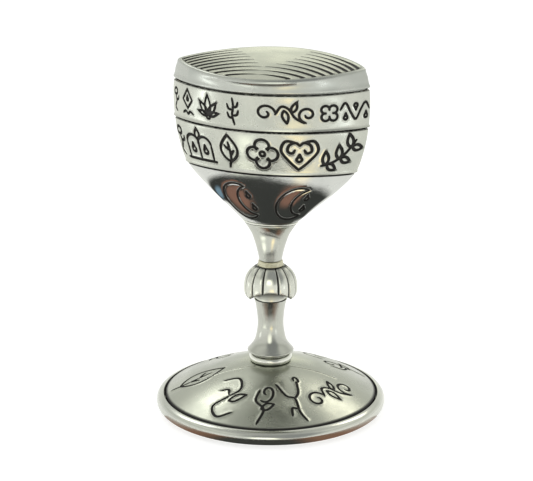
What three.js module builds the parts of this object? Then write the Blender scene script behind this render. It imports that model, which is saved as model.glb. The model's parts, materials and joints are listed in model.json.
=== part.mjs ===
// Covered ciborium in silver: a round domed foot, a turned stem with a lobed
// knop, a pointed-oval bowl of three shells with a gilt liner, and a lift-off
// lid. The knop and the base of the bowl are flattened front to back like the
// bowl. Millimetres, +Z up. The origin is the centre of the foot's underside
// and the front of the bowl faces -Y.
import * as THREE from 'three';

// ---- Driving dimensions ----------------------------------------------------

const GAP = 0.3; // clearance kept between neighbouring pieces
const LENS_SEGMENTS = 56; // facets around the pointed-oval pieces
const ROUND_SEGMENTS = 56; // facets around the foot
const STEM_SEGMENTS = 36; // facets around the stem pieces
const KNOP_SEGMENTS = 80; // facets around the knop, 4.5 degrees each
const SMALL_SEGMENTS = 20; // facets around rods, bushes and washers

// Levels above the table.
const Z_GROOVE_FOOT = 7.3; // joint between the foot's rim and dome
const Z_DOME_TOP = 23.6;
const Z_COLLAR_TOP = 27.4;
const Z_STEM_LOWER_TOP = 56.6;
const Z_KNOP_TOP = 74.0;
const Z_NECK_TOP = 77.0;
const Z_STEM_UPPER_TOP = 96.6;
const Z_FLANGE_TOP = 98.1;
const Z_JOINT_LOWER = 124.7; // lower bowl to lower band
const Z_JOINT_MIDDLE = 147.8; // lower band to upper band
const Z_JOINT_LID = 167.0; // upper band to lid
const Z_LID_RIM = 177.0; // shoulder of the lid
const LID_CROWN = 1.2; // rise of the lid's top over its shoulder
const LID_SLANT = 2.2; // rise of the shoulder at the back, and its drop at the front

// Foot and stem radii.
const R_FOOT = 58.0;
const R_GROOVE_FOOT = 53.8;
const R_COLLAR = 10.8;
const R_KNOP = 13.3;
const KNOP_FLATNESS = 0.75; // depth over width
const KNOP_CREASES = [18, 45, 72]; // degrees; the same in every quarter turn
const KNOP_CREASE_DEPTH = 0.45;
const Z_KNOP_EDGE = 57.2; // the knop's lower edge at its ends
const Z_KNOP_ARCH = 61.6; // the same edge at the front and back
const R_KNOP_ARCH = 17.8; // radius of the arch between them
const R_KNOP_HUB = 7.6;
const R_STEM_BORE = 4.3;
const BASE_FLATNESS = 0.7; // depth over width where the stem meets the bowl
const Z_FLATTENING = 80.0; // above this the stem grows flatter towards the bowl
const R_ROD = 2.5;
const R_ROD_HOLE = R_ROD + GAP;
const R_BOSS = 7.4;
const R_BOSS_SPIGOT = 5.0;

// Bowl shells.
const BOWL_YAW = -15; // degrees about Z: the +X tip comes forward
const TIP_STRETCH = 1.5; // extra inset at the pointed ends of the plan
const WALL = 2.0; // inset of the shells' inner face
const GROOVE_HALF = 0.45; // half the width of the grooves between shells
const TONGUE_FACE = 1.1; // inset of the tongue seen at the bottom of a groove
const TONGUE_HEIGHT = 1.5;
const LINER_OUTER = 4.0; // inset of the liner's outer face
const LINER_WALL = 1.0;
const LOCATING_RING_GAP = 0.4;
const LOCATING_RING_WALL = 1.2;
const BOWL_FLOOR = 3.0; // thickness of the bowl's floor
const LEDGE_INSET = 0.9; // the upper band's ledge for the liner's flange
const LEDGE_DEPTH = 1.8;
const LINER_FLANGE = 1.1; // thickness of the liner's flange
const SKIRT_SPIGOT_INSET = 1.3; // the lid's spigot that enters the upper band
const SKIRT_INNER = 2.6;
const PLATE_INSET = 1.6; // margin of the shoulder around the lid's plate
const PLATE_SEAT = 1.2; // depth of the seat for the plate
const PLATE_SEAT_INSET = 2.8;

// Fastenings.
const Z_ROD_BOTTOM = 12.6;
const Z_ROD_TOP = 103.1;
const CLAMP_PLATE = 1.8; // thicknesses of the parts under the foot
const SPRING_WASHER = 1.2;
const NUT_HEIGHT = 4.0;
const R_NUT = 4.6; // to the corners

const radians = THREE.MathUtils.degToRad;

// ---- Materials -------------------------------------------------------------

function metal(color, roughness) {
  return new THREE.MeshStandardMaterial({ color, roughness, metalness: 1.0 });
}

const SATIN_SILVER = () => metal(0xc9cac0, 0.32);
const BRIGHT_SILVER = () => metal(0xd2d2cb, 0.12);
const GILT = () => metal(0xd8b060, 0.22);
const STEEL = () => metal(0x9a9c9e, 0.4);
const BRASS = () => metal(0xb59a58, 0.4);

// ---- Plan of the bowl ------------------------------------------------------

// A smooth curve through [height, value] stations, read at any height.
function stationCurve(stations) {
  const points = stations.map(([z, value]) => new THREE.Vector2(z, value));
  const curve = new THREE.SplineCurve(points);
  return (z) => {
    const last = stations.length - 1;
    if (z <= stations[0][0]) return stations[0][1];
    if (z >= stations[last][0]) return stations[last][1];
    let low = 0;
    let high = 1;
    while (high - low > 1e-6) {
      const middle = (low + high) / 2;
      if (curve.getPoint(middle).x < z) low = middle;
      else high = middle;
    }
    return curve.getPoint(low).y;
  };
}

// Half width to the pointed ends, half depth front to back, and how far the
// plan has turned from a circle (0) into a lens with pointed ends (1).
const halfWidth = stationCurve([
  [98.4, 15.0], [105, 22.6], [114, 33.0], [124.5, 42.6], [135, 46.6],
  [148, 49.0], [158, 49.6], [167, 49.2], [177, 47.4],
]);
const halfDepth = stationCurve([
  [98.4, 10.4], [108, 12.4], [124.5, 16.0], [147.8, 22.6], [167, 26.8], [177, 29.6],
]);
const pointedness = stationCurve([
  [98.4, 0.0], [108, 0.25], [124.5, 0.55], [147.8, 0.68], [167, 0.72], [177, 0.72],
]);

// A ring of the bowl's surface at height z, moved inwards by inset. A slanted
// ring is higher at the back and lower at the front by slant.
function wall(z, inset, slant = 0) {
  return {
    w: halfWidth(z) - TIP_STRETCH * inset,
    d: halfDepth(z) - inset,
    m: pointedness(z),
    z,
    slant,
  };
}

// A ring with the plan of the lid's shoulder, moved inwards by inset.
function shoulder(inset, z) {
  return { ...wall(Z_LID_RIM, inset, LID_SLANT), z };
}

// A round ring, or an oval one whose depth is flatness times its width.
function round(r, z, flatness = 1) {
  return { w: r, d: r * flatness, m: 0, z, slant: 0 };
}

// A ring of the lid's crowned top: the shoulder scaled about the axis.
function crownRing(scale, inset, base) {
  const rim = wall(Z_LID_RIM, inset);
  const z = base + LID_CROWN * (1 - scale * scale);
  const slant = LID_SLANT * scale;
  return { w: rim.w * scale, d: rim.d * scale, m: rim.m, z, slant };
}

function ringPoint(ring, angle) {
  const s = Math.sin(angle);
  const across = s * (1 - ring.m + ring.m * Math.abs(s)); // -1 at the front, 1 at the back
  return [ring.w * Math.cos(angle), ring.d * across, ring.z + ring.slant * across];
}

// A closed solid through rings given in order around its section: counter-
// clockwise with radius to the right and height up. With onAxis the list starts
// and ends on the axis, and its end rings give only their heights.
function loft(rings, onAxis = false, count = LENS_SEGMENTS) {
  const body = onAxis ? rings.slice(1, -1) : rings;
  const ends = onAxis ? [rings[0].z, rings[rings.length - 1].z] : [];
  return skin(body.length, count, (row, angle) => ringPoint(body[row], angle), ends);
}

// A closed skin over rows of points around Z. It closes from the last row to
// the first, or onto the axis at the two end heights when they are given.
function skin(rowCount, count, pointAt, ends = []) {
  const positions = [];
  const index = [];
  for (let row = 0; row < rowCount; row += 1) {
    for (let i = 0; i < count; i += 1) {
      positions.push(...pointAt(row, (2 * Math.PI * i) / count));
    }
  }
  const at = (row, i) => row * count + (i % count);
  const strips = ends.length ? rowCount - 1 : rowCount;
  for (let row = 0; row < strips; row += 1) {
    const next = (row + 1) % rowCount;
    for (let i = 0; i < count; i += 1) {
      index.push(at(row, i), at(row, i + 1), at(next, i + 1));
      index.push(at(row, i), at(next, i + 1), at(next, i));
    }
  }
  if (ends.length) {
    const bottom = rowCount * count;
    positions.push(0, 0, ends[0], 0, 0, ends[1]);
    for (let i = 0; i < count; i += 1) {
      index.push(bottom, at(0, i + 1), at(0, i));
      index.push(bottom + 1, at(rowCount - 1, i), at(rowCount - 1, i + 1));
    }
  }
  const geometry = new THREE.BufferGeometry();
  geometry.setAttribute('position', new THREE.Float32BufferAttribute(positions, 3));
  geometry.setIndex(index);
  geometry.computeVertexNormals();
  return geometry;
}

// ---- Round pieces ----------------------------------------------------------

// A solid of revolution about Z from [radius, height] points, counter-clockwise
// with radius to the right and height up; the outline closes on itself.
function turned(outline, segments = STEM_SEGMENTS) {
  const points = outline.map(([r, z]) => new THREE.Vector2(r, z));
  if (outline[0][0] > 0) points.push(points[0].clone());
  const geometry = new THREE.LatheGeometry(points, segments);
  geometry.rotateX(Math.PI / 2);
  return geometry;
}

function tube(outer, inner, low, high, segments = SMALL_SEGMENTS) {
  return turned([[inner, low], [outer, low], [outer, high], [inner, high]], segments);
}

// Points of a smooth curve through [radius, height] stations.
function smooth(stations, count) {
  const curve = new THREE.SplineCurve(stations.map(([r, z]) => new THREE.Vector2(r, z)));
  return curve.getPoints(count).map((point) => [point.x, point.y]);
}

// ---- Foot ------------------------------------------------------------------

const DOME_WALL = 1.4;
const RIM_SEAT = 4.2; // top of the rim's inner step, which carries the dome
const R_RIM_INNER = 50.0;

// Top surface of the dome from its edge to the seat of the collar.
function domeProfile(edgeRadius, offset) {
  return smooth([
    [edgeRadius, Z_GROOVE_FOOT - offset], [44.5, 12.1 - offset], [32.0, 17.3 - offset],
    [20.0, 21.4 - offset], [10.6, Z_DOME_TOP - offset],
  ], 8);
}

function footRim() {
  return turned([
    [R_RIM_INNER, 0], [54.0, 0], [56.3, 0.7], [57.6, 2.0], [R_FOOT, 3.6], [57.6, 5.0],
    [56.5, 6.2], [R_GROOVE_FOOT + 0.9, Z_GROOVE_FOOT], [R_GROOVE_FOOT + 0.3, 6.2],
    [R_GROOVE_FOOT + 0.3, RIM_SEAT], [R_RIM_INNER, RIM_SEAT],
  ], ROUND_SEGMENTS);
}

function footDome() {
  const edge = R_GROOVE_FOOT - GAP;
  const low = RIM_SEAT + GAP;
  return turned([
    [edge - DOME_WALL, low], [edge, low], ...domeProfile(edge, 0),
    [R_ROD_HOLE, Z_DOME_TOP], [R_ROD_HOLE, Z_DOME_TOP - DOME_WALL],
    ...domeProfile(edge - DOME_WALL, DOME_WALL).reverse(),
  ], ROUND_SEGMENTS);
}

function footCollar() {
  const low = Z_DOME_TOP + GAP;
  return turned([
    [R_ROD_HOLE, low], [R_COLLAR - 0.5, low], [R_COLLAR, low + 0.8],
    [R_COLLAR, Z_COLLAR_TOP - 0.9], [R_COLLAR - 0.6, Z_COLLAR_TOP],
    [R_ROD_HOLE, Z_COLLAR_TOP],
  ]);
}

// ---- Stem ------------------------------------------------------------------

function stemLower() {
  const low = Z_COLLAR_TOP + GAP;
  const outside = smooth([
    [11.6, 29.9], [10.4, 31.3], [8.4, 34.1], [7.3, 37.6], [6.55, 43.0], [6.8, 48.5],
    [7.2, 53.3], [7.6, Z_STEM_LOWER_TOP],
  ], 12);
  return turned([
    [R_STEM_BORE, low], [9.7, low], [9.9, 28.5], [11.3, 28.9], [11.75, 29.4],
    ...outside, [R_STEM_BORE, Z_STEM_LOWER_TOP],
  ]);
}

// The knop's half width at each height, before its creases.
const knopRadius = stationCurve([
  [Z_KNOP_EDGE, 11.9], [59.5, 13.0], [62.0, R_KNOP], [64.8, 13.2], [67.5, 12.7],
  [69.5, 11.9], [71.3, 10.7], [72.8, 9.3], [Z_KNOP_TOP, 7.8],
]);

// How full the knop is at an angle: 1 between creases, less at each crease.
function knopFullness(angle) {
  const quarter = ((((angle * 180) / Math.PI) % 90) + 90) % 90;
  const away = Math.min(...KNOP_CREASES.map((crease) => Math.abs(quarter - crease)));
  const fromCrease = Math.min(away / 13.5, 1);
  return 1 - (KNOP_CREASE_DEPTH / R_KNOP) * (1 - fromCrease) ** 3;
}

// The knop's arched lower face at distance x from its middle.
function knopUnderside(x) {
  const arch = Z_KNOP_ARCH - R_KNOP_ARCH + Math.sqrt(Math.max(R_KNOP_ARCH ** 2 - x * x, 0));
  return Math.max(arch, Z_KNOP_EDGE);
}

function knop() {
  const low = Z_STEM_LOWER_TOP + GAP;
  const steps = 8;
  const around = (r, angle, flatness, z) => [
    r * Math.cos(angle), r * flatness * Math.sin(angle), z,
  ];
  const side = (row, angle) => {
    const edge = knopUnderside(R_KNOP * Math.cos(angle));
    const z = edge + ((Z_KNOP_TOP - edge) * row) / steps;
    return around(knopRadius(z) * knopFullness(angle), angle, KNOP_FLATNESS, z);
  };
  const inner = [
    (angle) => around(R_STEM_BORE, angle, 1, Z_KNOP_TOP),
    (angle) => around(R_STEM_BORE, angle, 1, low),
    (angle) => around(R_KNOP_HUB, angle, 1, low),
    (angle) => around(R_KNOP_HUB, angle, 1, knopUnderside(R_KNOP_HUB * Math.cos(angle))),
  ];
  return skin(steps + 1 + inner.length, KNOP_SEGMENTS, (row, angle) => (
    row <= steps ? side(row, angle) : inner[row - steps - 1](angle)));
}

function knopNeck() {
  const low = Z_KNOP_TOP + GAP;
  return turned([
    [R_STEM_BORE, low], [6.2, low], [6.4, low + 0.7], [5.9, low + 1.4],
    [6.0, Z_NECK_TOP - 0.5], [5.8, Z_NECK_TOP], [R_STEM_BORE, Z_NECK_TOP],
  ]);
}

// The stem's upper part goes from round at its foot to oval under the bowl.
function stemUpper() {
  const low = Z_NECK_TOP + GAP;
  const outside = smooth([
    [5.75, low], [6.1, 79.2], [7.0, 83.0], [8.2, 87.0], [9.8, 91.0], [12.6, 95.4],
  ], 9);
  const outline = [
    [R_STEM_BORE, low], ...outside, [13.3, Z_STEM_UPPER_TOP], [8.6, Z_STEM_UPPER_TOP],
    [7.2, 93.0], [5.6, 88.0], [R_STEM_BORE, 84.6],
  ];
  const rings = outline.map(([r, z]) => {
    const rise = THREE.MathUtils.smoothstep(z, Z_FLATTENING, Z_STEM_UPPER_TOP);
    return round(r, z, 1 - (1 - BASE_FLATNESS) * rise);
  });
  return loft(rings, false, STEM_SEGMENTS);
}

function bush(low, high) {
  return tube(R_STEM_BORE - GAP, R_ROD_HOLE, low, high);
}

// ---- Bowl ------------------------------------------------------------------

function bowlFlange() {
  const low = Z_STEM_UPPER_TOP + GAP;
  const bore = R_BOSS_SPIGOT + GAP;
  const edge = [[13.8, low], [14.4, low + 0.4], [14.4, Z_FLANGE_TOP - 0.4], [13.9, Z_FLANGE_TOP]];
  return loft([
    round(bore, low), ...edge.map(([r, z]) => round(r, z, BASE_FLATNESS)),
    round(bore, Z_FLANGE_TOP),
  ], false, STEM_SEGMENTS);
}

// The outer faces of a shell between two levels, bottom to top.
function outerFaces(low, high, steps) {
  const faces = [];
  for (let i = 0; i <= steps; i += 1) {
    faces.push(wall(low + ((high - low) * i) / steps, 0));
  }
  return faces;
}

// The inner faces of a shell between two levels, top to bottom.
function innerFaces(low, high, steps) {
  const faces = [];
  for (let i = 0; i <= steps; i += 1) {
    faces.push(wall(high - ((high - low) * i) / steps, WALL));
  }
  return faces;
}

// The tongue above a shell's outer edge, which closes the groove behind.
function tongue(joint) {
  const edge = joint - GROOVE_HALF;
  return [
    wall(edge, TONGUE_FACE), wall(edge + TONGUE_HEIGHT, TONGUE_FACE),
    wall(edge + TONGUE_HEIGHT, WALL),
  ];
}

// The rebate at the bottom of a shell, cut back around the tongue below it.
function rebate(joint) {
  const roof = joint - GROOVE_HALF + TONGUE_HEIGHT + GAP;
  return [
    wall(roof, WALL), wall(roof, TONGUE_FACE - GAP),
    wall(joint + GROOVE_HALF, TONGUE_FACE - GAP),
  ];
}

function bowlLower() {
  const low = Z_FLANGE_TOP + GAP;
  const floor = low + BOWL_FLOOR;
  const hole = R_BOSS_SPIGOT + GAP;
  const outside = outerFaces(low, Z_JOINT_LOWER - GROOVE_HALF, 7);
  const inside = innerFaces(floor + 1.6, Z_JOINT_LOWER - GROOVE_HALF, 5);
  return loft([
    round(hole, low), ...outside, ...tongue(Z_JOINT_LOWER), ...inside,
    round(11.0, floor, BASE_FLATNESS), round(hole, floor),
  ]);
}

function band(lowJoint, highJoint) {
  const low = lowJoint + GROOVE_HALF;
  const high = highJoint - GROOVE_HALF;
  const roof = lowJoint - GROOVE_HALF + TONGUE_HEIGHT + GAP;
  return loft([
    ...outerFaces(low, high, 4), ...tongue(highJoint),
    ...innerFaces(roof + 1, high, 3), ...rebate(lowJoint),
  ]);
}

// The upper band ends in an inner ledge that carries the liner's flange.
function bandUpper() {
  const low = Z_JOINT_MIDDLE + GROOVE_HALF;
  const high = Z_JOINT_LID - GROOVE_HALF;
  const ledge = high - LEDGE_DEPTH;
  const roof = Z_JOINT_MIDDLE - GROOVE_HALF + TONGUE_HEIGHT + GAP;
  return loft([
    ...outerFaces(low, high, 4), wall(high, LEDGE_INSET), wall(ledge, LEDGE_INSET),
    ...innerFaces(roof + 1, ledge, 3), ...rebate(Z_JOINT_MIDDLE),
  ]);
}

function bowlBoss() {
  const seat = Z_FLANGE_TOP + GAP + BOWL_FLOOR + GAP;
  return turned([
    [R_ROD_HOLE, Z_STEM_UPPER_TOP + GAP], [R_BOSS_SPIGOT, Z_STEM_UPPER_TOP + GAP],
    [R_BOSS_SPIGOT, seat], [R_BOSS, seat], [R_BOSS, seat + 1.6], [6.0, seat + 2.4],
    [R_ROD_HOLE, seat + 2.4],
  ], SMALL_SEGMENTS);
}

const Z_LINER_FLOOR = 108.5;
const Z_LINER_FLANGE = Z_JOINT_LID - GROOVE_HALF - LEDGE_DEPTH + GAP;

// The corner between the liner's floor and its side, moved inwards by inset.
function linerFoot(inset) {
  const z = Z_LINER_FLOOR + inset;
  return { w: 19.0 - inset, d: 8.6 - inset, m: 0.3, z, slant: 0 };
}

function bowlLiner() {
  const flangeTop = Z_LINER_FLANGE + LINER_FLANGE;
  const flangeInset = LEDGE_INSET + GAP;
  const wallLow = Z_LINER_FLOOR + 3.5;
  const inner = LINER_OUTER + LINER_WALL;
  const outside = [];
  const inside = [];
  const steps = 6;
  for (let i = 0; i <= steps; i += 1) {
    const rise = i / steps;
    outside.push(wall(wallLow + (Z_LINER_FLANGE - wallLow) * rise, LINER_OUTER));
    inside.unshift(wall(wallLow + 1 + (flangeTop - wallLow - 1) * rise, inner));
  }
  return loft([
    round(0, Z_LINER_FLOOR), linerFoot(0), ...outside,
    wall(Z_LINER_FLANGE, flangeInset), wall(flangeTop, flangeInset), ...inside,
    linerFoot(LINER_WALL), round(0, Z_LINER_FLOOR + LINER_WALL),
  ], true);
}

// ---- Lid -------------------------------------------------------------------

function lidSkirt() {
  const low = Z_JOINT_LID + GROOVE_HALF;
  const foot = Z_LINER_FLANGE + LINER_FLANGE + GAP;
  const top = Z_LID_RIM;
  const seat = top - PLATE_SEAT;
  return loft([
    wall(foot, SKIRT_SPIGOT_INSET), wall(low, SKIRT_SPIGOT_INSET),
    wall(low, 0), wall(low + 3, 0), wall(low + 5.5, 0),
    wall(top - 1.2, 0, LID_SLANT), wall(top - 0.4, 0.25, LID_SLANT), wall(top, 0.9, LID_SLANT),
    shoulder(PLATE_INSET, top + 0.1), shoulder(PLATE_INSET, seat),
    shoulder(PLATE_SEAT_INSET, seat), wall(low, SKIRT_INNER), wall(foot, SKIRT_INNER),
  ]);
}

function lidPlate() {
  const inset = PLATE_INSET + GAP;
  const seat = Z_LID_RIM - PLATE_SEAT + GAP;
  const upper = [];
  const under = [];
  const steps = 6;
  for (let i = 0; i < steps; i += 1) {
    const scale = 1 - i / steps;
    upper.push(crownRing(scale, inset, Z_LID_RIM));
    under.unshift(crownRing(scale, inset, seat));
  }
  return loft([
    round(0, seat + LID_CROWN), ...under, ...upper, round(0, Z_LID_RIM + LID_CROWN),
  ], true);
}

function lidLocatingRing() {
  const outer = LINER_OUTER + LINER_WALL + LOCATING_RING_GAP;
  const inner = outer + LOCATING_RING_WALL;
  const low = Z_JOINT_LID - 5.5;
  const knee = Z_JOINT_LID + 2;
  const top = Z_LID_RIM - 1.0;
  const slant = LID_SLANT * 0.88;
  return loft([
    wall(low, inner), wall(low, outer), wall(knee, outer), wall(top, outer, slant),
    wall(top, inner, slant), wall(knee, inner),
  ]);
}

// ---- Tie rod and its fastenings --------------------------------------------

const Z_CLAMP_TOP = Z_DOME_TOP - DOME_WALL - GAP;
const Z_WASHER_TOP = Z_CLAMP_TOP - CLAMP_PLATE - GAP;
const Z_NUT_TOP = Z_WASHER_TOP - SPRING_WASHER - GAP;

function tieRod() {
  return turned([
    [0, Z_ROD_BOTTOM], [R_ROD - 0.5, Z_ROD_BOTTOM], [R_ROD, Z_ROD_BOTTOM + 0.5],
    [R_ROD, Z_ROD_TOP - 0.5], [R_ROD - 0.5, Z_ROD_TOP], [0, Z_ROD_TOP],
  ], SMALL_SEGMENTS);
}

function footClampPlate() {
  return tube(9.5, R_ROD_HOLE, Z_CLAMP_TOP - CLAMP_PLATE, Z_CLAMP_TOP, STEM_SEGMENTS);
}

function footSpringWasher() {
  return tube(5.2, R_ROD_HOLE, Z_WASHER_TOP - SPRING_WASHER, Z_WASHER_TOP);
}

function footNut() {
  const outline = new THREE.Shape();
  for (let i = 0; i < 6; i += 1) {
    const angle = (Math.PI / 3) * i;
    const corner = [R_NUT * Math.cos(angle), R_NUT * Math.sin(angle)];
    if (i === 0) outline.moveTo(...corner);
    else outline.lineTo(...corner);
  }
  outline.closePath();
  const hole = new THREE.Path();
  hole.absarc(0, 0, R_ROD_HOLE, 0, 2 * Math.PI, true);
  outline.holes.push(hole);
  const geometry = new THREE.ExtrudeGeometry(outline, {
    depth: NUT_HEIGHT, bevelEnabled: false, curveSegments: SMALL_SEGMENTS,
  });
  geometry.translate(0, 0, Z_NUT_TOP - NUT_HEIGHT);
  return geometry;
}

// ---- Assembly --------------------------------------------------------------

const ciborium = new THREE.Group();
const bowl = new THREE.Group(); // everything turned with the pointed-oval bowl
bowl.rotation.z = radians(BOWL_YAW);
ciborium.add(bowl);

function place(group, name, geometry, material) {
  const mesh = new THREE.Mesh(geometry, material);
  mesh.name = name;
  group.add(mesh);
}

place(ciborium, 'foot_rim', footRim(), BRIGHT_SILVER());
place(ciborium, 'foot_dome', footDome(), SATIN_SILVER());
place(ciborium, 'foot_collar', footCollar(), BRIGHT_SILVER());
place(ciborium, 'stem_lower', stemLower(), BRIGHT_SILVER());
place(ciborium, 'knop', knop(), SATIN_SILVER());
place(ciborium, 'knop_neck', knopNeck(), SATIN_SILVER());
place(bowl, 'stem_upper', stemUpper(), BRIGHT_SILVER());
place(bowl, 'bowl_flange', bowlFlange(), BRIGHT_SILVER());

place(bowl, 'bowl_lower', bowlLower(), BRIGHT_SILVER());
place(bowl, 'band_lower', band(Z_JOINT_LOWER, Z_JOINT_MIDDLE), SATIN_SILVER());
place(bowl, 'band_upper', bandUpper(), SATIN_SILVER());
place(bowl, 'bowl_liner', bowlLiner(), GILT());
place(bowl, 'lid_skirt', lidSkirt(), SATIN_SILVER());
place(bowl, 'lid_plate', lidPlate(), SATIN_SILVER());
place(bowl, 'lid_locating_ring', lidLocatingRing(), GILT());

place(ciborium, 'bowl_boss', bowlBoss(), BRASS());
place(ciborium, 'tie_rod', tieRod(), STEEL());
place(ciborium, 'stem_upper_bush', bush(78.0, 84.0), BRASS());
place(ciborium, 'knop_bush', bush(60.0, 71.0), BRASS());
place(ciborium, 'stem_lower_bush', bush(46.0, 55.0), BRASS());
place(ciborium, 'foot_clamp_plate', footClampPlate(), BRASS());
place(ciborium, 'foot_spring_washer', footSpringWasher(), STEEL());
place(ciborium, 'foot_nut', footNut(), BRASS());

export default ciborium;
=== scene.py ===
# A satin silver ciborium: round domed foot, turned stem with a lobed knop, a
# pointed-oval bowl in banded shells with a gilt liner, and a lift-off lid.
# Lengths are millimetres in the frame of the CAD model; make_mesh turns them
# into metres.
import json
import math

import bmesh
import bpy
import numpy as np
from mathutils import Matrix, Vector
from mathutils.geometry import delaunay_2d_cdt
from mathutils.kdtree import KDTree

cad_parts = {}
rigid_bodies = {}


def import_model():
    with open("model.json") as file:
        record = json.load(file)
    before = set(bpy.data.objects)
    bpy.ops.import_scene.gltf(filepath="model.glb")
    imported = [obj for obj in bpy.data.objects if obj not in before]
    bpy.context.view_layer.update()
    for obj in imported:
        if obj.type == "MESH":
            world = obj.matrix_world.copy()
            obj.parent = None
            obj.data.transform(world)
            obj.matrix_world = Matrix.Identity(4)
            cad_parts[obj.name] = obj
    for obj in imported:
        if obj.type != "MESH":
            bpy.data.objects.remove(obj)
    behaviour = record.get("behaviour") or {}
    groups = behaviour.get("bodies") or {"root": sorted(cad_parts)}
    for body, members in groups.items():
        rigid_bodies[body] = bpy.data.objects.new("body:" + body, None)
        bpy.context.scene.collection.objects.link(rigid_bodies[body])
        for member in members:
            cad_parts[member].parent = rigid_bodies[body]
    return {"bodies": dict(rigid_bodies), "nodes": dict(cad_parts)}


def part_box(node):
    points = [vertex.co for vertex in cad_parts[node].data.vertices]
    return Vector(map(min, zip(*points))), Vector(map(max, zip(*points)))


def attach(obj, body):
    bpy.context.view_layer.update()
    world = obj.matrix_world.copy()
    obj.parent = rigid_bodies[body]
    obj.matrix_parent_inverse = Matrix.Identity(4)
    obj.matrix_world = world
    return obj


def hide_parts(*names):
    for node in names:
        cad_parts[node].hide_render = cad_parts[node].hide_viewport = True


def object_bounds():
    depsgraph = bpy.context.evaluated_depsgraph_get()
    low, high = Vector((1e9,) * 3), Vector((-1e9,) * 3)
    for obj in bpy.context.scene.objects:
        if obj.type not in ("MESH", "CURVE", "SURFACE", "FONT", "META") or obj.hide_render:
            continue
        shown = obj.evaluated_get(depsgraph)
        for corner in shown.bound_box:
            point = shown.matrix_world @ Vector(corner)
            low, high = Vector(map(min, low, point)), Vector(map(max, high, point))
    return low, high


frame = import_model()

CAD_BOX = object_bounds()
MM = 0.001
TURN = 2 * math.pi


def level(node, end):
    """Height of a CAD node's lower (0) or upper (1) end, in millimetres."""
    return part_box(node)[end][2] / MM


# ---- Driving sizes, as in the CAD model

GROOVE_HALF = 0.45  # half the width of the grooves between the bowl's shells
Z_BOWL = level("bowl_lower", 0)
Z_JOINT_LOWER = level("band_lower", 0) - GROOVE_HALF
Z_JOINT_MIDDLE = level("band_upper", 0) - GROOVE_HALF
Z_JOINT_LID = level("band_upper", 1) + GROOVE_HALF
Z_LID_RIM = 177.0
LID_SLANT = 2.2
LID_CROWN = 1.2
BOWL_YAW = math.radians(-15)
TIP_STRETCH = 1.5
WALL = 2.0
BASE_FLATNESS = 0.7  # depth over width where the stem meets the bowl
Z_FLATTENING = 80.0
LENS_COUNT = 288  # steps around the pointed-oval pieces
ROUND_COUNT = 192  # steps around the foot
STEM_COUNT = 128  # steps around the stem pieces


# ---- Curves

def station_curve(stations):
    """A smooth function through (height, value) stations."""
    at, value = np.array(stations, float).T
    slope = np.gradient(value, at)

    def read(x):
        x = np.clip(x, at[0], at[-1])
        i = np.clip(np.searchsorted(at, x, side="right") - 1, 0, len(at) - 2)
        span = at[i + 1] - at[i]
        t = (x - at[i]) / span
        rise = value[i + 1] - value[i]
        start = slope[i] * span
        end = slope[i + 1] * span
        return (value[i] + start * t + (3 * rise - 2 * start - end) * t ** 2
                + (start + end - 2 * rise) * t ** 3)

    return read


def smooth(points, step):
    """Points about step apart on a smooth curve through the given ones."""
    p = np.array(points, float)
    if len(p) < 3:
        return resample(p, step)
    first = 2 * p[0] - p[1]
    last = 2 * p[-1] - p[-2]
    q = np.vstack([first, p, last])
    t = np.linspace(0, 1, 24, endpoint=False)[:, None]
    parts = []
    for a, b, c, d in zip(q[:-3], q[1:-2], q[2:-1], q[3:]):
        parts.append(0.5 * (2 * b + (c - a) * t + (2 * a - 5 * b + 4 * c - d) * t ** 2
                            + (3 * b - a - 3 * c + d) * t ** 3))
    return resample(np.vstack(parts + [p[-1:]]), step)


def run_lengths(path):
    """The distance along a path at each of its points."""
    return np.concatenate([[0], np.cumsum(np.linalg.norm(np.diff(path, axis=0), axis=1))])


def resample(points, step):
    """The same polyline with points about step apart."""
    run = run_lengths(points)
    count = max(2, int(math.ceil(run[-1] / step)) + 1)
    at = np.linspace(0, run[-1], count)
    return np.stack([np.interp(at, run, points[:, k]) for k in range(points.shape[1])], 1)


def rounded(outline, radius=0.3, steps=3):
    """A closed outline with its corners rounded; a point's third value is its own radius."""
    result = []
    count = len(outline)
    for i, corner in enumerate(outline):
        here = np.array(corner[:2], float)
        before = np.array(outline[i - 1][:2], float) - here
        after = np.array(outline[(i + 1) % count][:2], float) - here
        reach = corner[2] if len(corner) > 2 else radius
        reach = min(reach, np.linalg.norm(before) * 0.45, np.linalg.norm(after) * 0.45)
        if reach < 0.02:
            result.append(here)
            continue
        start = here + before / np.linalg.norm(before) * reach
        end = here + after / np.linalg.norm(after) * reach
        for t in np.linspace(0, 1, steps + 1):
            result.append((1 - t) ** 2 * start + 2 * t * (1 - t) * here + t ** 2 * end)
    return np.array(result)


# ---- Plan of the bowl

half_width = station_curve([
    (98.4, 15.0), (105, 22.6), (114, 33.0), (124.5, 42.6), (135, 46.6),
    (148, 49.0), (158, 49.6), (167, 49.2), (177, 47.4)])
half_depth = station_curve([
    (98.4, 10.4), (108, 12.4), (124.5, 16.0), (147.8, 22.6), (167, 26.8), (177, 29.6)])
pointedness = station_curve([
    (98.4, 0.0), (108, 0.25), (124.5, 0.55), (147.8, 0.68), (167, 0.72), (177, 0.72)])


def wall(z, inset, slant=0.0, plan_z=None):
    """A ring of the bowl's surface: half width, half depth, pointedness, height, slant."""
    at = z if plan_z is None else plan_z
    return (half_width(at) - TIP_STRETCH * inset, half_depth(at) - inset,
            pointedness(at), z, slant)


def groove_tarnish_and_shade(ring):
    """Black for the narrow faces at a groove, partly oxidised black and partly painted shade in the
    seam; nearly clean for the inside of a shell.
    """
    w, _, _, z, _ = ring
    return 1.0 if w > half_width(z) - 1.2 * TIP_STRETCH else 0.1


def round_ring(r, z, flatness=1.0):
    """A round ring, or an oval one whose depth is flatness times its width."""
    return (r, r * flatness, 0.0, z, 0.0)


def pointed(s, m):
    """Share of the half depth at a sine s of the plan's angle; m makes the plan pointed."""
    return s * (1 - m + m * np.abs(s))


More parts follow.
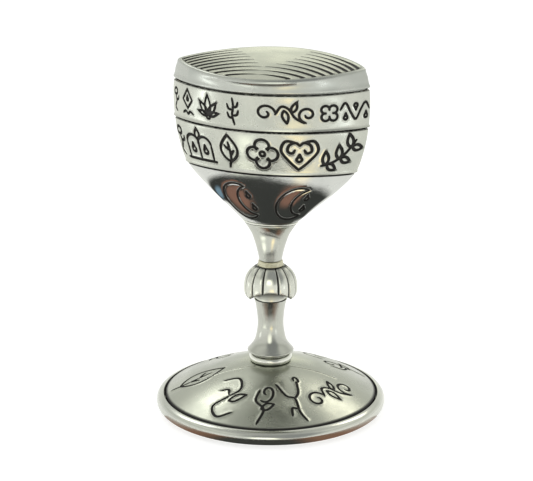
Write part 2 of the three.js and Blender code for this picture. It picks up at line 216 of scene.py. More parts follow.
def ring_points(ring, angle):
    """Points of a ring at the given angles, in the bowl's own frame."""
    w, d, m, z, slant = ring
    across = pointed(np.sin(angle), m)
    return np.stack([w * np.cos(angle), d * across, z + slant * across], -1)


def round_angles(count):
    """Even angles round a full turn."""
    return TURN * np.arange(count) / count


def yawed(points):
    """From the bowl's own frame to the frame of the model."""
    c = math.cos(BOWL_YAW)
    s = math.sin(BOWL_YAW)
    x, y, z = points.T
    return np.stack([c * x - s * y, s * x + c * y, z], 1)


# ---- Meshes

def put(name, data):
    """A new object in the scene."""
    thing = bpy.data.objects.new(name, data)
    bpy.context.scene.collection.objects.link(thing)
    return thing


def make_mesh(name, points, faces, material, node, patina_and_shade=None, sharp=38):
    """A closed mesh from millimetre points that replaces a CAD node and rides with its body."""
    mesh = bpy.data.meshes.new(name)
    mesh.from_pydata((np.asarray(points) * MM).tolist(), [], faces)
    # The vertex attribute marks where the metal turns black: oxidised cut lines, and painted shade at
    # the bowl's seams and the knop's edges.
    if patina_and_shade is not None:
        mesh.attributes.new("patina_and_shade", "FLOAT", "POINT").data.foreach_set("value", patina_and_shade)
    work = bmesh.new()
    work.from_mesh(mesh)
    bmesh.ops.remove_doubles(work, verts=work.verts, dist=2e-6)
    bmesh.ops.dissolve_degenerate(work, edges=work.edges, dist=1e-7)
    bmesh.ops.recalc_face_normals(work, faces=work.faces)
    work.to_mesh(mesh)
    work.free()
    mesh.shade_smooth()
    mesh.set_sharp_from_angle(angle=math.radians(sharp))
    piece = put(name, mesh)
    mesh.materials.append(material)
    body = next(b for b, empty in frame["bodies"].items()
                if frame["nodes"][node].parent == empty)
    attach(piece, body)
    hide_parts(node)
    return piece


def strips(rows, count, closed=False, start=0):
    """Quads between rows of count vertices each; closed joins the last row to the first."""
    row, i = np.meshgrid(np.arange(rows if closed else rows - 1), np.arange(count), indexing="ij")
    here = row * count
    there = (row + 1) % rows * count
    after = (i + 1) % count
    quads = np.stack([here + i, here + after, there + after, there + i], -1)
    return (quads.reshape(-1, 4) + start).tolist()


def ring_grid(rings, count, closed, start=0):
    """Vertices and quads through rings."""
    points = np.vstack([ring_points(ring, round_angles(count)) for ring in rings])
    return points, strips(len(rings), count, closed, start)


def capped(points, faces, count, rings):
    """Closes the first and last ring of a grid onto the axis with fans."""
    ends = []
    for base, ring, flip in ((0, rings[0], False), (len(points) - count, rings[-1], True)):
        centre = len(points) + len(ends)
        ends.append([0.0, 0.0, ring[3]])
        for i in range(count):
            pair = [base + (i + 1) % count, base + i]
            faces.append([centre] + (pair[::-1] if flip else pair))
    return np.vstack([points, ends]), faces


def turned(outline):
    """Rings of a solid of revolution from a closed (radius, height) outline."""
    return [round_ring(r, z) for r, z in outline]


def solid(name, rings, count, material, node, yaw=False, on_axis=False, dark=None):
    """A piece skinned over its rings; dark tells how black a ring is from its radius and height."""
    points, faces = ring_grid(rings, count, closed=not on_axis)
    patina_and_shade = None
    if dark:
        patina_and_shade = np.repeat([dark(ring[0], ring[3]) for ring in rings], count)
    if on_axis:
        points, faces = capped(points, faces, count, rings)
    if yaw:
        points = yawed(points)
    return make_mesh(name, points, faces, material, node, patina_and_shade)


# ---- Engraving

SAMPLE = 0.12  # spacing of the samples along a stroke
LIP_REACH = 0.45  # how far the raised lip reaches outside a stroke


def engrave(fixed, grid, strokes, inside, surface, depth, lip, spacing=0.3):
    """Triangles of a surface with strokes cut into it.

    All points lie in a flat domain in millimetres. fixed are points that stay,
    such as the border; grid fills the plain area; inside tells which points are
    in the domain; surface gives the points and normals of the solid."""
    centres = np.vstack([path for path, _ in strokes])
    halves = np.concatenate([half for _, half in strokes])
    tree = KDTree(len(centres))
    for i, (x, y) in enumerate(centres):
        tree.insert((x, y, 0), i)
    tree.balance()

    def nearest(points):
        found = [tree.find((x, y, 0)) for x, y in points]
        return np.array([f[2] for f in found]), halves[np.array([f[1] for f in found])]

    rails = []
    offsets = []
    for path, half in strokes:
        keep = slice(0, None, max(1, int(round(spacing / SAMPLE))))
        along = np.gradient(path, axis=0)
        along /= np.maximum(np.linalg.norm(along, axis=1), 1e-9)[:, None]
        across = np.stack([-along[:, 1], along[:, 0]], 1)
        for ratio, extra in ((0, 0), (0.5, 0), (0.8, 0), (1, 0.04), (1, 0.2), (1, LIP_REACH)):
            reach = half * ratio + extra
            for side in ((1, -1) if ratio else (1,)):
                rails.append((path + side * across * reach[:, None])[keep])
                offsets.append(reach[keep])
            if ratio:
                for end, way in ((0, -1), (-1, 1)):
                    turn = np.linspace(-1.2, 1.2, 5)[:, None]
                    rails.append(path[end] + reach[end] * (
                        np.cos(turn) * along[end] * way + np.sin(turn) * across[end]))
                    offsets.append(np.full(5, reach[end]))
    rails = np.vstack(rails)
    offsets = np.concatenate(offsets)
    chosen = inside(rails, 0.3)
    rails = rails[chosen]
    distance, _ = nearest(rails)
    rails = rails[np.abs(distance - offsets[chosen]) < 0.07]
    cell = np.round(rails / 0.11).astype(int)
    _, first = np.unique(cell, axis=0, return_index=True)
    rails = rails[np.sort(first)]

    grid = grid[inside(grid, 0.4)]
    distance, half = nearest(grid)
    grid = grid[distance > half + LIP_REACH + 0.3]
    flat = np.vstack([fixed, rails, grid])
    result = delaunay_2d_cdt([Vector(p) for p in flat], [], [], 0, 1e-5)
    flat = np.array([tuple(v) for v in result[0]])
    faces = np.array(result[2])
    faces = faces[inside(flat[faces].mean(axis=1), 0)]

    distance, half = nearest(flat)
    ratio = np.clip((1 - distance / np.maximum(half, 1e-6)) / 0.55, 0, 1)
    cut = ratio * ratio * (3 - 2 * ratio) * np.minimum(depth, half * 1.1)
    out = (distance - half) / LIP_REACH
    bead = np.where((out > 0) & (out < 1), np.sin(np.pi * np.sqrt(np.clip(out, 0, 1))), 0)
    points, normals = surface(flat)
    points = points + normals * (lip * bead - cut)[:, None]
    patina_and_shade = np.clip((half * 1.02 - distance) / 0.14, 0, 1)
    return points, faces.tolist(), patina_and_shade


def with_normals(locate, outward=1):
    """A surface for engrave from a function that puts flat points in their place."""
    step = 0.02

    def surface(flat):
        u = locate(flat + [step, 0]) - locate(flat - [step, 0])
        v = locate(flat + [0, step]) - locate(flat - [0, step])
        normals = np.cross(u, v)
        normals /= np.maximum(np.linalg.norm(normals, axis=1), 1e-12)[:, None]
        return locate(flat), normals * outward

    return surface


# ---- Ornaments
# Each ornament is a list of lines in units of its height, centred on (0, 0).

def spun(shape, degrees):
    """A flat shape turned about (0, 0)."""
    c = math.cos(math.radians(degrees))
    s = math.sin(math.radians(degrees))
    return shape @ np.array([[c, s], [-s, c]])


def arc(x, y, r, start, end, squash=1.0):
    a = np.radians(np.linspace(start, end, 25))
    return np.stack([x + r * np.cos(a), y + r * squash * np.sin(a)], 1)


def spiral(x, y, r_start, r_end, start, sweep):
    a = np.radians(np.linspace(start, start + sweep, 40))
    r = np.linspace(r_start, r_end, 40)
    return np.stack([x + r * np.cos(a), y + r * np.sin(a)], 1)


def leaf(x, y, length, angle, width=0.34):
    """A closed pointed leaf from (x, y) outwards."""
    t = np.linspace(0, 1, 14)
    edge = width * length * np.sin(np.pi * t ** 0.8)
    side = np.stack([t * length, edge], 1)
    back = np.stack([t[::-1] * length, -edge[::-1]], 1)
    shape = np.vstack([side, back])
    return spun(shape, angle) + [x, y]


def drop(x, y, r, angle=90):
    """A closed drop around (x, y) with its point towards angle."""
    a = np.radians(np.linspace(40, 320, 18))
    body = np.stack([np.cos(a), np.sin(a)], 1)
    shape = np.vstack([[2.4, 0], body, [2.4, 0]]) * r
    return spun(shape, angle) + [x, y]


def line(*points):
    return np.array(points, float)


def bow(*points):
    return smooth(points, 0.04)


def mirrored(shape):
    return shape * [-1, 1]


def bud():
    return [arc(0, 0.32, 0.13, -90, 270), bow((0, 0.18), (0.05, -0.1), (-0.06, -0.34), (0.08, -0.5)),
            bow((0.02, -0.05), (0.2, 0.02), (0.24, 0.14))]


def lozenge_drop():
    return [line((0, 0.5), (0.27, 0.1), (0, -0.22), (-0.27, 0.1), (0, 0.5)),
            drop(0, 0.12, 0.055),
            bow((-0.3, -0.42), (-0.12, -0.34), (0, -0.44), (0.12, -0.34), (0.3, -0.42))]


def palmette():
    leaves = [leaf(0, -0.3, size, turn, 0.17) for turn, size in (
        (90, 0.8), (52, 0.66), (128, 0.66), (14, 0.5), (166, 0.5))]
    return leaves + [arc(0, -0.34, 0.1, 190, 350)]


def sprig():
    return [bow((0.04, -0.5), (-0.03, -0.15), (0.03, 0.2), (0, 0.5)),
            bow((0, 0.16), (0.16, 0.2), (0.22, 0.36)),
            bow((0, 0.06), (-0.16, 0.1), (-0.22, 0.26)),
            bow((0, -0.16), (0.16, -0.12), (0.22, 0.04)),
            bow((0, -0.26), (-0.16, -0.22), (-0.22, -0.06))]


def running_scroll():
    return [spiral(-0.64, 0.04, 0.08, 0.34, 40, -400),
            bow((-0.31, 0.0), (-0.1, 0.3), (0.14, 0.2), (0.32, -0.12), (0.62, -0.34)),
            spiral(0.74, -0.02, 0.08, 0.32, 200, 420), leaf(-0.02, 0.14, 0.5, -80, 0.2),
            leaf(0.24, 0.08, 0.42, 66, 0.2)]


def petals(x, reach, r, opening, first):
    """Four open petals around (x, 0)."""
    return [arc(x + reach * math.cos(math.radians(a)), reach * math.sin(math.radians(a)), r,
                a - opening, a + opening)
            for a in range(first, first + 360, 90)]


def flower_and_wave():
    return petals(-0.66, 0.2, 0.15, 140, 45) + [
        bow((-0.26, 0.1), (-0.06, 0.34), (0.14, -0.04), (0.34, -0.3), (0.54, 0.06), (0.74, 0.3),
            (0.92, 0.04)),
        drop(-0.06, -0.22, 0.07), drop(0.34, 0.22, 0.07, -90), drop(0.76, -0.22, 0.07)]


def arcade():
    return [arc(-0.24, 0.0, 0.26, 0, 180), arc(0.24, 0.0, 0.26, 0, 180),
            line((-0.5, 0), (-0.5, -0.46)), line((0, 0), (0, -0.46)), line((0.5, 0), (0.5, -0.46)),
            line((-0.6, -0.5), (0.6, -0.5)), drop(-0.25, -0.2, 0.08), drop(0.25, -0.2, 0.08),
            leaf(0, 0.16, 0.34, 90, 0.26)]


def veined_leaf():
    return [leaf(0, -0.34, 0.84, 90, 0.32), bow((-0.06, -0.5), (0.03, -0.2), (0.0, 0.26)),
            bow((0.02, -0.16), (0.1, -0.04), (0.15, 0.02)),
            bow((0.02, 0.02), (-0.08, 0.1), (-0.13, 0.16))]


def quatrefoil():
    return petals(0, 0.24, 0.2, 128, 0) + [arc(0, 0, 0.07, 0, 360)]


def curled_heart():
    half = bow((0.12, 0.16), (0.18, 0.05), (0.3, 0.12), (0.26, 0.32), (0.1, 0.4), (0.0, 0.3))
    side = bow((0.12, 0.42), (0.36, 0.44), (0.46, 0.12), (0.24, -0.24), (0, -0.5))
    return [half, mirrored(half), side, mirrored(side), drop(0, -0.16, 0.07)]


def laurel():
    stem = bow((-0.6, -0.4), (-0.2, -0.3), (0.2, -0.04), (0.54, 0.4))
    leaves = []
    for i, (x, y) in enumerate(stem[4:-6:13]):
        leaves.append(leaf(x, y, 0.46, 96 + 4 * i, 0.24))
        leaves.append(leaf(x + 0.06, y, 0.4, -28 + 9 * i, 0.24))
    return [stem] + leaves


def tendril():
    return [spiral(0.12, 0.2, 0.05, 0.24, 250, -380),
            bow((-0.1, 0.26), (-0.16, 0.0), (0.1, -0.2), (-0.05, -0.5)),
            leaf(0.03, -0.18, 0.36, 20, 0.2)]


def wing():
    return [bow((-0.5, 0.3), (-0.1, 0.42), (0.2, 0.2), (0.02, -0.06), (-0.16, -0.3), (0.16, -0.46),
                (0.5, -0.3)),
            bow((-0.32, 0.05), (-0.12, 0.12), (0.02, 0.02)), leaf(0.16, -0.1, 0.4, 35, 0.2)]


def forked_curl():
    return [bow((-0.34, 0.42), (-0.2, 0.1), (0.02, 0.0), (0.0, -0.3), (0.12, -0.5)),
            bow((0.0, 0.0), (0.2, 0.14), (0.3, 0.42)), arc(0.3, 0.46, 0.07, -90, 200),
            bow((0.0, -0.24), (-0.18, -0.2), (-0.26, -0.36))]


def crescent():
    """An outlined crescent open to the right, with two drops."""
    outer = arc(0.16, 0, 0.5, 58, 302)
    inner = arc(0.5, 0, 0.43, 100, 260, 0.98)
    return [outer, np.vstack([outer[:1], inner, outer[-1:]]),
            drop(0.42, 0.14, 0.055), drop(0.42, -0.22, 0.055)]


def place(shape, x, y, height, turn=0.0, stretch=1.0):
    """An ornament's lines at a place in the domain, turned by an angle in degrees."""
    return [spun(piece * [stretch * height, height], turn) + [x, y] for piece in shape]


def stroke(points, half, taper=0.25):
    """A cut line: samples with half widths, narrower towards open ends."""
    path = resample(np.asarray(points, float), SAMPLE)
    count = len(path)
    if np.linalg.norm(path[0] - path[-1]) < 0.2:
        return path, np.full(count, half)
    t = np.arange(count) / max(1, count - 1)
    end = np.clip(np.minimum(t, 1 - t) * count * SAMPLE / 1.2, 0, 1)
    return path, half * (1 - taper * (1 - end))


# ---- Materials

# A near-black for oxidised cut lines and hollows, also used as painted shade at the bowl's seams and
# the knop's edges.
OXIDE_AND_SHADE = (0.012, 0.011, 0.009)


def feed(tree, socket, value):
    """Sets a socket to a value, or links another node's output to it."""
    if isinstance(value, bpy.types.NodeSocket):
        tree.links.new(value, socket)
    else:
        socket.default_value = (*value, 1) if socket.type == "RGBA" else value


def add(tree, kind, inputs, output=0, **settings):
    """The output of a new shader node with its settings and inputs filled in."""
    node = tree.nodes.new("ShaderNode" + kind)
    for key, value in settings.items():
        setattr(node, key, value)
    for key, value in inputs.items():
        feed(tree, node.inputs[key], value)
    return node.outputs[output]


def new_material(name):
    """A material with its node tree and Principled shader."""
    material = bpy.data.materials.new(name)
    material.use_nodes = True
    return material, material.node_tree, material.node_tree.nodes["Principled BSDF"]


def noise(tree, coords, scale, detail, stretch=(1, 1, 1)):
    vector = add(tree, "Mapping", {"Vector": coords, "Scale": stretch})
    return add(tree, "TexNoise", {"Vector": vector, "Scale": scale, "Detail": detail})


def spread(tree, value, low, high):
    """The middle range of a noise mapped to low..high."""
    return add(tree, "MapRange", {"Value": value, "From Min": 0.35, "From Max": 0.65,
                                  "To Min": low, "To Max": high})


def fade(tree, value, start, end):
    """0 at start, 1 at end and smooth between."""
    return add(tree, "MapRange", {"Value": value, "From Min": start, "From Max": end},
               interpolation_type="SMOOTHSTEP")


def blend_colors(tree, fac, a, b):
    return add(tree, "Mix", {0: fac, 6: a, 7: b}, 2, data_type="RGBA")


def blend_values(tree, fac, a, b):
    return add(tree, "Mix", {0: fac, 2: a, 3: b})


def metal(name, bright, dull, rough_low, rough_high, scratches=0.06, dents=0.0, oxide_and_shade=False):
    """Metal with cloudy tarnish and fine scratches; with the flag set, it is black where the vertex
    attribute is 1, which marks oxidised cut lines and painted shade at seams and edges.
    """
    material, tree, shader = new_material(name)
    coords = add(tree, "TexCoord", {}, "Object")
    cloud = noise(tree, coords, 55, 5)
    fine = noise(tree, coords, 900, 3)
    hair = noise(tree, coords, 260, 6, (1, 1, 9))
    color = blend_colors(tree, spread(tree, cloud, 0, 1), dull, bright)
    roughness = spread(tree, cloud, rough_high, rough_low)
    metallic = 1.0
    if oxide_and_shade:
        mark = add(tree, "Attribute", {}, "Fac", attribute_name="patina_and_shade")
        color = blend_colors(tree, mark, color, OXIDE_AND_SHADE)
        roughness = blend_values(tree, mark, roughness, 0.55)
        metallic = blend_values(tree, mark, 1.0, 0.35)
    relief = {"Height": blend_values(tree, fine, hair, fine), "Strength": scratches,
              "Distance": 0.0002}
    if dents:
        relief["Normal"] = add(tree, "Bump", {"Height": noise(tree, coords, 120, 2),
                                              "Strength": dents, "Distance": 0.0006})
    normal = add(tree, "Bump", relief)
    for key, value in (("Base Color", color), ("Roughness", roughness), ("Metallic", metallic),
                       ("Normal", normal)):
        feed(tree, shader.inputs[key], value)
    return material


# Painted light and shade: the silver pieces are all the same silver, but each gets its own lighter or
# darker colour to stand for how the light falls on it; the roughness gives each its finish.
SATIN = metal("satin_silver", (0.54, 0.55, 0.48), (0.46, 0.475, 0.42), 0.20, 0.33, 0.08, 0.07, True)
SATIN_PLATE = metal("satin_silver_plate", (0.53, 0.54, 0.45), (0.44, 0.455, 0.39), 0.22, 0.32, 0.1,
                    oxide_and_shade=True)
SATIN_FOOT = metal("satin_silver_foot", (0.47, 0.485, 0.41), (0.40, 0.415, 0.355), 0.22, 0.34, 0.08,
                   0.08, True)
KNOP = metal("knop_silver", (0.66, 0.67, 0.59), (0.57, 0.58, 0.51), 0.16, 0.26, 0.06, 0.06, True)
MIRROR = metal("mirror_silver", (0.60, 0.61, 0.57), (0.54, 0.55, 0.52), 0.07, 0.13, 0.03, oxide_and_shade=True)
BRIGHT = metal("bright_silver", (0.62, 0.63, 0.56), (0.54, 0.555, 0.50), 0.14, 0.24, 0.05, 0.04, True)
SATIN_TOP = metal("satin_silver_lid", (0.47, 0.485, 0.44), (0.40, 0.42, 0.38), 0.26, 0.38, 0.1)
FILED = metal("filed_silver", (0.80, 0.78, 0.62), (0.55, 0.53, 0.38), 0.34, 0.55, 0.3, 0.25)
POLISHED = metal("polished_silver", (0.80, 0.81, 0.73), (0.70, 0.71, 0.64), 0.12, 0.2, 0.04)
STEM = metal("stem_silver", (0.51, 0.52, 0.46), (0.45, 0.46, 0.41), 0.14, 0.24, 0.05, 0.04)
GILT = metal("gilt", (0.86, 0.62, 0.27), (0.74, 0.50, 0.20), 0.14, 0.24, 0.04)
BRASS = metal("brass", (0.70, 0.54, 0.26), (0.52, 0.39, 0.18), 0.26, 0.42, 0.1)
STEEL = metal("steel", (0.56, 0.57, 0.58), (0.42, 0.43, 0.44), 0.28, 0.42, 0.1)


# ---- Foot

R_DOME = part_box("foot_dome")[1][0] / MM
R_DOME_SEAT = 10.3
Z_DOME_SEAT = 23.62
DOME_WALL = 1.4
dome_height = station_curve([
    (R_DOME_SEAT, Z_DOME_SEAT), (14, 22.95), (20.0, 21.4), (32.0, 17.3), (44.5, 12.1), (R_DOME, 7.3)])


def foot_dome():
    angles = round_angles(ROUND_COUNT)
    circle = np.stack([np.cos(angles), np.sin(angles)], 1)
    r_edge = R_DOME - 0.5
    grid = np.vstack([circle * r for r in np.arange(R_DOME_SEAT + 1, r_edge - 0.6, 1.1)])
    fixed = np.vstack([circle * R_DOME_SEAT, circle * r_edge])

    def inside(p, margin):
        r = np.linalg.norm(p, axis=1)
        return (r > R_DOME_SEAT - 0.02 + margin) & (r < r_edge + 0.01 - margin)

    def on_dome(p):
        return np.column_stack([p, dome_height(np.linalg.norm(p, axis=1))])

    points, faces, patina_and_shade = engrave(
        fixed, grid, dome_strokes(), inside, with_normals(on_dome), 0.5, 0.1)
    under = [(r, dome_height(r) - DOME_WALL) for r in np.linspace(11, R_DOME - DOME_WALL, 14)]
    rest = ([(r_edge, float(dome_height(r_edge))), (R_DOME - 0.08, 7.05), (R_DOME, 6.7),
             (R_DOME, 4.7), (R_DOME - 0.15, 4.52), (R_DOME - DOME_WALL, 4.52)] + under[::-1]
            + [(3.1, 22.2), (3.1, 23.4), (3.4, Z_DOME_SEAT), (R_DOME_SEAT, Z_DOME_SEAT)])
    more, quads = ring_grid(turned(rest), ROUND_COUNT, False, len(points))
    reach = np.linalg.norm(points[:, :2], axis=1)
    patina_and_shade = np.maximum(patina_and_shade, np.clip((reach - r_edge + 0.45) / 0.15, 0, 1))
    patina_and_shade = np.concatenate([patina_and_shade, np.linalg.norm(more[:, :2], axis=1) > r_edge - 0.6])
    make_mesh("foot_dome_engraved", np.vstack([points, more]), faces + quads, SATIN_FOOT,
              "foot_dome", patina_and_shade)


DOME_ORNAMENTS = (  # angle from +X, radius, height, stretch, ornament; the bottom faces outwards
    (234, 36.0, 29.0, 0.62, wing), (263, 36.5, 28.0, 0.62, tendril),
    (289, 36.0, 28.0, 0.6, forked_curl), (321, 38.5, 15.5, 1.0, running_scroll),
    (17, 38.0, 24.0, 0.8, tendril), (50, 37.0, 24.0, 0.8, wing),
    (90, 38.0, 24.0, 0.8, forked_curl), (133, 37.0, 24.0, 0.8, tendril),
    (188, 37.0, 27.0, 0.8, veined_leaf))


def dome_strokes():
    strokes = []
    for angle, radius, height, stretch, ornament in DOME_ORNAMENTS:
        a = math.radians(angle)
        shape = place(ornament(), radius * math.cos(a), radius * math.sin(a), height,
                      angle + 90, stretch)
        strokes += [stroke(path, 0.72, 0.4) for path in shape]
    # a shallow crease runs from the collar to either side
    for side in (-1, 1):
        crease = smooth([(side * 7.6, -8.6), (side * 15.5, -8.2), (side * 24, -7.6),
                         (side * 33, -8.4)], SAMPLE)
        strokes.append(stroke(crease, 0.2, 0.8))
    return strokes


def foot_rim():
    """A rolled ring with a flat underside and a rebate that holds the dome."""
    edge = R_DOME + 0.45
    roll = smooth([(55.0, 0.06), (56.3, 0.45), (57.5, 1.5), (57.97, 2.9), (57.9, 4.4),
                   (57.4, 5.6), (56.6, 6.4), (55.5, 6.95), (54.6, 7.2)], 0.4)
    outline = ([(50.2, 0), (54.0, 0)] + roll.tolist()
               + [(edge + 0.42, 7.2), (edge + 0.1, 6.95), (edge, 6.5), (edge, 4.4),
                  (edge - 0.2, 4.2), (50.2, 4.2), (50.0, 4.0), (50.0, 0.2)])
    solid("foot_rim_rolled", turned(outline), ROUND_COUNT, BRIGHT, "foot_rim",
          dark=lambda r, h: float(r < edge + 0.5 and h > 4.3))


def foot_collar():
    z = level("foot_collar", 0)
    outline = rounded([(2.8, z), (10.2, z, 0.4), (10.8, z + 0.9, 0.7), (10.8, z + 2.5, 0.8),
                       (10.1, z + 3.5, 0.5), (2.8, z + 3.5)])
    solid("foot_collar_ring", turned(outline), STEM_COUNT, POLISHED, "foot_collar")


# ---- Stem

R_STEM_BORE = 4.3


def stem_lower():
    z = level("stem_lower", 0)
    top = level("stem_lower", 1)
    side = smooth([(11.6, 29.9), (10.4, 31.3), (8.4, 34.1), (7.3, 37.6), (6.55, 43.0),
                   (6.8, 48.5), (7.5, 53.3), (8.25, top)], 0.8)
    foot = smooth([(9.6, 28.1), (9.9, 28.5), (11.1, 28.8), (11.72, 29.3), (11.6, 29.9)], 0.25)
    outline = ([(R_STEM_BORE, z), (9.6, z)] + foot[:-1].tolist() + side.tolist()
               + [(R_STEM_BORE, top)])
    solid("stem_lower_turned", turned(outline), STEM_COUNT, STEM, "stem_lower")


def stem_upper():
    """The trumpet under the bowl goes from round at its foot to oval at its top."""
    z = level("stem_upper", 0)
    top = level("stem_upper", 1)
    side = smooth([(5.75, z), (6.1, 79.2), (7.0, 83.0), (8.2, 87.0), (9.8, 91.0), (12.6, 95.4),
                   (13.25, top - 0.35)], 0.7)
    outline = ([(R_STEM_BORE, z)] + side.tolist()
               + [(13.2, top), (8.6, top), (7.2, 93.0), (5.6, 88.0), (R_STEM_BORE, 84.6)])
    rings = []
    for r, h in outline:
        t = max(0.0, (h - Z_FLATTENING) / (top - Z_FLATTENING))
        rings.append(round_ring(r, h, 1 - (1 - BASE_FLATNESS) * t * t * (3 - 2 * t)))
    solid("stem_upper_trumpet", rings, STEM_COUNT, STEM, "stem_upper",
          yaw=True)


def bowl_flange():
    z = level("bowl_flange", 0)
    outline = rounded([(5.3, z), (13.7, z, 0.3), (14.4, z + 0.6, 0.5), (13.8, z + 1.2, 0.3),
                       (5.3, z + 1.2)])
    rings = [round_ring(r, h, BASE_FLATNESS if r > 8 else 1.0) for r, h in outline]
    solid("bowl_flange_ring", rings, STEM_COUNT, POLISHED, "bowl_flange",
          yaw=True)


KNOP_CREASES = (18, 45, 72)  # degrees; the same in every quarter turn
KNOP_FLATNESS = 0.75
R_KNOP_HUB = 7.6
Z_KNOP_EDGE = 57.2
Z_KNOP_ARCH = 61.6
R_KNOP_ARCH = 17.8
STEPS_PER_LOBE = 26
KNOP_ROWS = 30
knop_radius = station_curve([
    (Z_KNOP_EDGE, 11.9), (59.5, 13.0), (62.0, 13.3), (64.8, 13.2), (67.5, 12.7), (69.5, 11.9),
    (71.3, 10.7), (72.8, 9.3), (74.0, 7.8)])


def knop_edge(x):
    """Height of the knop's lower edge, arched up at front and back."""
    arch = Z_KNOP_ARCH - R_KNOP_ARCH + np.sqrt(np.maximum(R_KNOP_ARCH ** 2 - x * x, 0))
    return np.maximum(arch, Z_KNOP_EDGE)


def knop():
    """Twelve lobes between black creases, with painted shade along the top and bottom edges and on
    the hub below.
    """
    low = level("knop", 0)
    top = level("knop", 1)
    creases = [quarter * 90 + c for quarter in range(4) for c in KNOP_CREASES]
    share = (1 - np.cos(np.pi * np.arange(STEPS_PER_LOBE) / STEPS_PER_LOBE)) / 2
    turns = []
    away = []
    for start, end in zip(creases, creases[1:] + [creases[0] + 360]):
        turns.append(start + (end - start) * share)
        away.append((end - start) * np.minimum(share, 1 - share))
    angle = np.radians(np.concatenate(turns))
    away = np.concatenate(away)
    count = len(angle)
    groove = np.clip((2.9 - away) / 1.1, 0, 1)
    belly = 0.5 * (1 - (1 - np.clip(away / 15, 0, 1)) ** 2.4)
    points = []
    patina_and_shade = []

    def add_row(r, z, mark, flatness=1.0):
        points.append(np.stack([r * np.cos(angle), r * flatness * np.sin(angle),
                                np.full(count, z)], 1))
        patina_and_shade.append(np.full(count, mark))

    edge = knop_edge(13.3 * np.cos(angle))
    for row in range(KNOP_ROWS + 1):
        t = row / KNOP_ROWS
        z = edge * (1 - t) + top * t
        full = min(1.0, t * 12, (1 - t) * 9)
        r = knop_radius(z) - 0.42 + belly * (0.45 + 0.55 * full) - 0.62 * groove * min(1, t * 12)
        if row in (0, KNOP_ROWS):
            r = r - 0.18
        # Painted shade: the rows next to the knop's top and bottom edges are blackened.
        ends = max(0.0, 1 - t * 26, 1 - (1 - t) * 15)
        add_row(r, z, np.maximum(groove, ends), KNOP_FLATNESS)
    # Painted shade: the top face under the upper stem is lightly darkened, and the hub under the
    # lobes is black.
    add_row(6.6, top, 0.3)
    add_row(R_STEM_BORE, top, 0.0)
    add_row(R_STEM_BORE, low, 0.0)
    add_row(R_KNOP_HUB, low, 0.0)
    add_row(R_KNOP_HUB, knop_edge(R_KNOP_HUB * np.cos(angle)) + 0.05, 1.0)
    make_mesh("knop_lobed", np.vstack(points), strips(len(points), count, True), KNOP, "knop",
              np.concatenate(patina_and_shade), sharp=50)


def knop_neck():
    """A plain ring left rough from the file."""
    z = level("knop_neck", 0)
    rng = np.random.default_rng(7)
    outline = rounded([(R_STEM_BORE, z), (6.4, z, 0.2), (6.35, z + 0.6, 0.4),
                       (6.05, z + 1.5, 0.4), (5.95, z + 2.3, 0.3), (5.8, z + 2.7, 0.2),
                       (R_STEM_BORE, z + 2.7)], 0.3, 5)
    points, faces = ring_grid(turned(outline), 120, closed=True)
    outer = np.linalg.norm(points[:, :2], axis=1) > 5.5
    points[outer, :2] *= (1 + rng.normal(0, 0.014, outer.sum()))[:, None]
    make_mesh("knop_neck_ring", points, faces, FILED, "knop_neck")


# ---- Bowl

LIP_STEP = 0.5  # how far a band's lower edge stands out


def band_offset(z, low, high):
    """Outward swell of a band: a small flared lip below and a softened edge above."""
    flare = LIP_STEP * np.exp(-((z - low) / 0.9) ** 2)
    edge = 0.22 * np.exp(-((z - low) / 0.16) ** 2) + 0.3 * np.exp(-((high - z) / 0.3) ** 2)
    return flare - edge


def shell(name, node, material, engraved, border, rings, angles, base):
    """An engraved outer face closed by rings over its inside, from its border to its base."""
    points, faces, patina_and_shade = engraved
    rest = [border] + [ring_points(ring, angles) for ring in rings] + [base]
    # The groove faces are blackened: oxidised black and painted shade in the seams.
    dark = np.repeat([0.0] + [groove_tarnish_and_shade(ring) for ring in rings] + [0.0], LENS_COUNT)
    make_mesh(name, yawed(np.vstack([points] + rest)),
              faces + strips(len(rest), LENS_COUNT, start=len(points)), material, node,
              np.concatenate([patina_and_shade, dark]))


